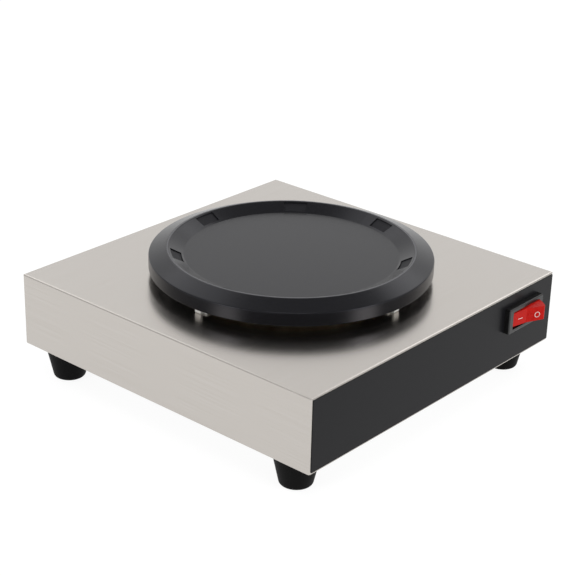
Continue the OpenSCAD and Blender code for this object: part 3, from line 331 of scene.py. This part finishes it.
def cross_edge(turn, arm, half_wide):
    """Distance from a cross's centre to its edge in one direction."""
    never_zero = 1e-6
    run = max(abs(math.cos(turn)), never_zero)
    rise = max(abs(math.sin(turn)), never_zero)
    return max(min(arm / run, half_wide / rise), min(half_wide / run, arm / rise))


def recessed_screws(name, seats, length):
    """A mesh of like screws, head down, each with its head's lowest point at a seat."""
    recess = [cross_edge(turn, RECESS_ARM, RECESS_HALF) for turn in round_turns]
    mouth = [cross_edge(turn, MOUTH_ARM, MOUTH_HALF) for turn in round_turns]
    profile = [
        (LAND_R, 0), (DOME_R, DOME_DROP), (HEAD_R, EDGE_DROP), (HEAD_R, HEAD_TALL),
        (SHANK_R, HEAD_TALL), (SHANK_R, length - TIP), (SHANK_R - TIP, length),
    ]
    rings = [(recess, RECESS_DEEP), (mouth, 0)]
    rings += [([radius] * ROUND_STEPS, z) for radius, z in profile]
    shape = bmesh.new()
    for x, y, z in seats:
        loops = []
        for ring, lift in rings:
            points = [(x + radius * math.cos(turn), y + radius * math.sin(turn), z + lift)
                      for radius, turn in zip(ring, round_turns)]
            loops.append([shape.verts.new(point) for point in points])
        shape.faces.new(loops[0])
        shape.faces.new(loops[-1])
        for inner, outer in zip(loops, loops[1:]):
            for i in range(ROUND_STEPS):
                j = (i + 1) % ROUND_STEPS
                shape.faces.new((inner[i], inner[j], outer[j], outer[i]))
    bmesh.ops.recalc_face_normals(shape, faces=shape.faces)
    made = bpy.data.meshes.new(name)
    shape.to_mesh(made)
    shape.free()
    made.shade_smooth()
    made.set_sharp_from_angle(angle=math.radians(SHARP_FROM))
    return made


screws_low, screws_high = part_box("foot_screws")
foot_seats = []
for name in FEET:
    foot_low, foot_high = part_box(name)
    foot_middle = (foot_low + foot_high) / 2
    foot_seats.append((foot_middle.x, foot_middle.y, screws_low.z))
foot_screw_mesh = recessed_screws("foot_pan_screws", foot_seats, screws_high.z - screws_low.z)
foot_screws = set_out("foot_pan_screws", foot_screw_mesh, plated)
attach(foot_screws, "housing")
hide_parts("foot_screws")

# Front overlay: a graphite-coloured polycarbonate film, stuck on with a thin steel edge left round it.
# Its satin face carries a very fine texture and a soft sheen.
film = grained("satin_graphite_film", "#121214", "#161619",
               grain=0.5 * MM, smooth=0.30, rough=0.36, relief=0.04, specular=0.12)
dress(film, "front_overlay")

# Switch case, cord gland and its nut: black nylon, injection moulded with a lightly sparked face.
# It is blacker than the overlay, with a broad soft shine on its edges.
nylon = grained("moulded_black_nylon", "#080808", "#0d0d0e",
                grain=0.35 * MM, smooth=0.30, rough=0.42, relief=0.1, specular=0.6)
dress(nylon, "switch_housing", "cord_gland", "gland_nut")

# Rocker: red polycarbonate, moulded with a fine satin face, on two pivot pins.
# The colour is deep and even, with a soft shine and a slight swirl from the mould's gate.
JOIN_WITHIN = 0.001 * MM
EDGE_ROUND = 0.45 * MM
EDGE_STEPS = 3
EDGE_FROM = 40


def join_faces(name):
    """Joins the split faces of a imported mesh, so that it closes exactly and its edges can be rounded."""
    joined = solids[name].modifiers.new("joined_faces", "WELD")
    joined.merge_threshold = JOIN_WITHIN


red = grained("satin_red_polycarbonate", "#b41009", "#bc150c",
              grain=3 * MM, smooth=0.26, rough=0.34, relief=0.02, specular=0.10)
dress(red, "switch_rocker")
join_faces("switch_rocker")
rounded = solids["switch_rocker"].modifiers.new("moulded_edges", "BEVEL")
rounded.width = EDGE_ROUND
rounded.segments = EDGE_STEPS
rounded.limit_method = "ANGLE"
rounded.angle_limit = math.radians(EDGE_FROM)
rounded.harden_normals = True

# Marks on the rocker: a stroke on the half that switches on and a ring on the half that switches off.
# They are pad-printed in white ink, a few hundredths of a millimetre thick, level with each half's slope.
ROCKER_TILT = 18
FACE_TILT = 9
VALLEY = 3.2 * MM
INK = 0.05 * MM
RING_OUT, RING_IN = 1.55 * MM, 1.3 * MM
STROKE_LONG, STROKE_WIDE = 3.3 * MM, 0.26 * MM
STROKE_OUT, RING_AT = 5.2 * MM, 7.0 * MM
MARK_DROP = 0.5 * MM


def printed_ring(name, outer, inner, thickness):
    """A flat ring that lies on its face plane and rises from it."""
    edges = [(outer, 0), (outer, thickness), (inner, thickness), (inner, 0)]
    points = [(r * math.cos(turn), r * math.sin(turn), z) for r, z in edges for turn in round_turns]
    faces = []
    for k in range(len(edges)):
        this, following = k * ROUND_STEPS, (k + 1) % len(edges) * ROUND_STEPS
        for i in range(ROUND_STEPS):
            j = (i + 1) % ROUND_STEPS
            faces.append((this + i, this + j, following + j, following + i))
    made = bpy.data.meshes.new(name)
    made.from_pydata(points, [], faces)
    return made


def printed_bar(name, length, width, thickness):
    """A flat bar that lies on its face plane and rises from it."""
    shape = bmesh.new()
    size = Matrix.Diagonal((length, width, thickness, 1))
    bmesh.ops.create_cube(shape, size=1, matrix=Matrix.Translation((0, 0, thickness / 2)) @ size)
    made = bpy.data.meshes.new(name)
    shape.to_mesh(made)
    shape.free()
    return made


# White pad-printing ink: a soft opaque white with the faint grain of the pad.
ink = grained("white_pad_printing_ink", "#e9e6e2", "#f6f4f1",
              grain=0.3 * MM, smooth=0.35, rough=0.5, relief=0.05)
joints = {joint["name"]: joint for joint in frame["record"]["behaviour"]["joints"]}
pivot = Vector(joints["rocker_tilt"]["pos_m"])
stroke_mesh = printed_bar("mark_on", STROKE_LONG, STROKE_WIDE, INK)
ring_mesh = printed_ring("mark_off", RING_OUT, RING_IN, INK)
for name, mesh, along in (("mark_on", stroke_mesh, -STROKE_OUT), ("mark_off", ring_mesh, RING_AT)):
    mark = set_out(name, mesh, ink)
    slope = Matrix.Rotation(math.radians(-ROCKER_TILT - math.copysign(FACE_TILT, along)), 4, "Z")
    on_face = Matrix.Translation((along, -VALLEY * math.cos(math.radians(FACE_TILT)), -MARK_DROP))
    stood_up = Matrix.Rotation(math.radians(90), 4, "X")
    mark.matrix_world = Matrix.Translation(pivot) @ slope @ on_face @ stood_up
    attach(mark, "rocker")

# Inside of the switch: brass blades, a copper contact arm, a nylon plunger with its spring, and a glow lamp.
# All are pressed or turned parts that snap into the case. The metals have a warm, broken shine,
# natural nylon is a milky cream, and the lamp's glass is smooth and orange.
brass = grained("pressed_brass", "#b8934a", "#cfae66",
                grain=0.7 * MM, smooth=0.24, rough=0.36, metallic=1.0)
dress(brass, "line_terminal", "load_terminal", "lamp_terminal", "thermostat_blades", "block_clamps")
copper = grained("rolled_copper_alloy", "#a8683c", "#bd7d4e",
                 grain=0.7 * MM, smooth=0.22, rough=0.34, metallic=1.0)
dress(copper, "contact_arm", "earth_lug")
natural_nylon = grained("natural_nylon", "#d9d5c8", "#e6e2d6", grain=0.6 * MM, smooth=0.35, rough=0.48)
dress(natural_nylon, "rocker_plunger")
join_faces("rocker_plunger")
spring_wire = grained("spring_steel_wire", "#7d7f81", "#989a9b",
                      grain=0.4 * MM, smooth=0.25, rough=0.38, metallic=1.0)
dress(spring_wire, "plunger_spring")
lamp_glass = grained("orange_neon_glass", "#d89a78", "#e6b08e",
                     grain=1.5 * MM, smooth=0.05, rough=0.10, relief=0.01)
dress(lamp_glass, "neon_lamp")

# Warming plate: an aluminium casting with a baked charcoal coating, satin on its faces.
# The pockets in the dish wall are left as cast under the coating, so they are duller than the wall.
COATING_DARK = "#0b0b0d"
COATING_LIGHT = "#101013"
COATING_SMOOTH, COATING_ROUGH = 0.21, 0.26
COATING_SPECULAR = 0.3
COOL_SHEEN = "#eeeef9"
PEEL = 1.2 * MM
PEEL_RELIEF, PEEL_DEEP = 0.05, 0.1 * MM
RIM_WIDE, WALL_WIDE, DISH_DEEP = 10 * MM, 8.5 * MM, 4 * MM
CREST_HALF = 0.6 * MM
CREST_DROP = 0.5 * MM
# The crest's painted highlight: its paler colour, the distance within which it is full and the distance by
# which it fades out.
CREST_HIGHLIGHT = "#4c4c4f"
HIGHLIGHT_CORE, HIGHLIGHT_HALF = 0.18 * MM, 0.6 * MM
POCKET_DULL = 0.6
POCKET_STARTS, POCKET_FULL = 0.18 * MM, 0.42 * MM
POCKETS_FROM, POCKETS_TO = 0.4 * MM, 7.4 * MM

# Baked charcoal coating: nearly black with a cool sheen and a slight orange peel.
# Along the crest a paler band is painted on as a highlight, standing in for the light that the rounded crest
# catches.
plate_low, plate_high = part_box("warming_plate")
crest_r = plate_high.x - RIM_WIDE
wall_slope = DISH_DEEP / (WALL_WIDE - CREST_HALF)
coating, tree, shader = finish_of("baked_charcoal_coating")
place = add(tree, "ShaderNodeTexCoord")
peel = add(tree, "ShaderNodeTexNoise", {"Vector": (place, "Object")}, {"Scale": 1 / PEEL, "Detail": 2.0})
skin = add(tree, "ShaderNodeBump", {"Height": (peel, "Fac")},
           {"Strength": PEEL_RELIEF, "Distance": PEEL_DEEP})
tree.links.new(skin.outputs["Normal"], shader.inputs["Normal"])
tone = add(tree, "ShaderNodeMapRange", {"Value": (peel, "Fac")},
           {"From Min": NOISE_LOW, "From Max": NOISE_HIGH})
tint = add(tree, "ShaderNodeMix", {"Factor": (tone, "Result")},
           {6: linear(COATING_DARK), 7: linear(COATING_LIGHT)}, data_type="RGBA")
satin = add(tree, "ShaderNodeMapRange", {"Value": (tone, "Result")},
            {"To Min": COATING_SMOOTH, "To Max": COATING_ROUGH})
at = add(tree, "ShaderNodeSeparateXYZ", {0: (place, "Object")})
level_at = add(tree, "ShaderNodeCombineXYZ", {"X": (at, "X"), "Y": (at, "Y")})
radius = add(tree, "ShaderNodeVectorMath", {0: (level_at, "Vector")}, operation="LENGTH")
# Painted highlight: a paler colour mixed in along the crest, full close to it, fading out to each side, and
# only on the rim's top.
off_crest = add(tree, "ShaderNodeMath", {0: (radius, "Value")}, {1: crest_r}, operation="SUBTRACT")
near_crest = add(tree, "ShaderNodeMath", {0: (off_crest, "Value")}, operation="ABSOLUTE")
crest_highlight = add(tree, "ShaderNodeMapRange", {"Value": (near_crest, "Value")},
             {"From Min": HIGHLIGHT_CORE, "From Max": HIGHLIGHT_HALF, "To Min": 1.0, "To Max": 0.0})
on_top = add(tree, "ShaderNodeMath", {0: (at, "Z")}, {1: plate_high.z - CREST_DROP}, operation="GREATER_THAN")
painted_highlight = add(tree, "ShaderNodeMath", {0: (crest_highlight, "Result"), 1: (on_top, "Value")}, operation="MULTIPLY")
colour = add(tree, "ShaderNodeMix", {"Factor": (painted_highlight, "Value"), 6: (tint, 2)}, {7: linear(CREST_HIGHLIGHT)},
             data_type="RGBA")
tree.links.new(colour.outputs[2], shader.inputs["Base Color"])
along_wall = add(tree, "ShaderNodeMath", {0: (radius, "Value")}, {1: crest_r - WALL_WIDE},
                 operation="SUBTRACT")
wall = add(tree, "ShaderNodeMath", {0: (along_wall, "Value")},
           {1: wall_slope, 2: plate_high.z - DISH_DEEP}, operation="MULTIPLY_ADD")
below = add(tree, "ShaderNodeMath", {0: (wall, "Value"), 1: (at, "Z")}, operation="SUBTRACT")
pocket = add(tree, "ShaderNodeMapRange", {"Value": (below, "Value")},
             {"From Min": POCKET_STARTS, "From Max": POCKET_FULL})
off_floor = add(tree, "ShaderNodeMath", {0: (along_wall, "Value")}, {1: POCKETS_FROM},
                operation="GREATER_THAN")
off_rim = add(tree, "ShaderNodeMath", {0: (along_wall, "Value")}, {1: POCKETS_TO}, operation="LESS_THAN")
in_wall = add(tree, "ShaderNodeMath", {0: (off_floor, "Value"), 1: (off_rim, "Value")},
              operation="MULTIPLY")
in_pocket = add(tree, "ShaderNodeMath", {0: (pocket, "Result"), 1: (in_wall, "Value")},
                operation="MULTIPLY")
shine = add(tree, "ShaderNodeMix", {"Factor": (in_pocket, "Value"), 2: (satin, "Result")},
            {3: POCKET_DULL}, data_type="FLOAT")
tree.links.new(shine.outputs[0], shader.inputs["Roughness"])
shader.inputs["Specular IOR Level"].default_value = COATING_SPECULAR
shader.inputs["Specular Tint"].default_value = linear(COOL_SHEEN)
dress(coating, "warming_plate")

# Rim standoffs: steel strip, pressed, bent and riveted to the top.
# Their near-white colour is a painted highlight, standing in for the glint of the metal tabs, which shows
# even in the plate's shadow.
painted_glint_finish = grained("near_white_painted_glint", "#f0efec", "#fbfaf7",
                grain=0.4 * MM, smooth=0.28, rough=0.40, relief=0.04, metallic=0.2)
dress(painted_glint_finish, "rim_standoffs")

# Heat shield: bright aluminium sheet, spun and held on the stud under the element.
# The rolled surface is close to a mirror, with a few fine roll marks.
bright_sheet = grained("bright_rolled_aluminium", "#d4d2ce", "#e3e1dd",
                       grain=1.0 * MM, smooth=0.10, rough=0.18, relief=0.02, metallic=1.0)
dress(bright_sheet, "heat_shield")

# Heating element: an etched resistance track between two mica discs, with two welded tail pins in ceramic.
# Mica is a pale brown glassy flake, the track is dull grey foil, and the ceramic is a matt cream.
mica = grained("pressed_mica", "#a98f62", "#cbb489", grain=5 * MM, smooth=0.25, rough=0.45, relief=0.05)
dress(mica, "upper_mica", "lower_mica")
foil = grained("etched_resistance_foil", "#6b6d70", "#85878a",
               grain=1.0 * MM, smooth=0.35, rough=0.5, metallic=1.0)
dress(foil, "heating_track", "tail_pins")
steatite = grained("fired_steatite_ceramic", "#dcd6c8", "#ebe6da", grain=1.2 * MM, smooth=0.4, rough=0.55)
dress(steatite, "tail_bushings", "thermal_fuse")

# Thermostat and terminal block: moulded phenolic and pale polyamide, screwed to the sheet.
# Phenolic is dark brown with a dusty sheen.
phenolic = grained("moulded_brown_phenolic", "#4a3122", "#5c3f2d", grain=0.8 * MM, smooth=0.32, rough=0.46)
dress(phenolic, "thermostat")
dress(natural_nylon, "terminal_block")

# Earth screw: a brass pan head, driven up through the base plate, with the lug and its nut above.
# It has the same cross recess as the foot screws, and the bare metal has a warm shine.
earth_low, earth_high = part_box("earth_screw")
earth_middle = (earth_low + earth_high) / 2
earth_seat = (earth_middle.x, earth_middle.y, earth_low.z)
earth_screw_mesh = recessed_screws("earth_pan_screw", [earth_seat], earth_high.z - earth_low.z)
earth_screw = set_out("earth_pan_screw", earth_screw_mesh, brass)
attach(earth_screw, "housing")
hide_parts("earth_screw")

# Leads: silicone-rubber insulation over stranded copper, cut to length and pushed on to blades or clamped.
# The rubber is soft-looking and slightly dusty.
INSULATION = {
    "brown_silicone_insulation": ("#5f3a22", "#6f4629", ["live_lead", "switched_lead"]),
    "blue_silicone_insulation": ("#33609a", "#3f70ab", ["lamp_lead", "neutral_lead"]),
    "white_silicone_insulation": ("#cfcabb", "#dfdacc", ["fuse_lead_in", "fuse_lead_out"]),
    "green_silicone_insulation": ("#537f32", "#638f3f", ["earth_lead"]),
}
for name, (dark, light, leads) in INSULATION.items():
    sleeve = grained(name, dark, light, grain=0.8 * MM, smooth=0.45, rough=0.6, relief=0.06)
    dress(sleeve, *leads)
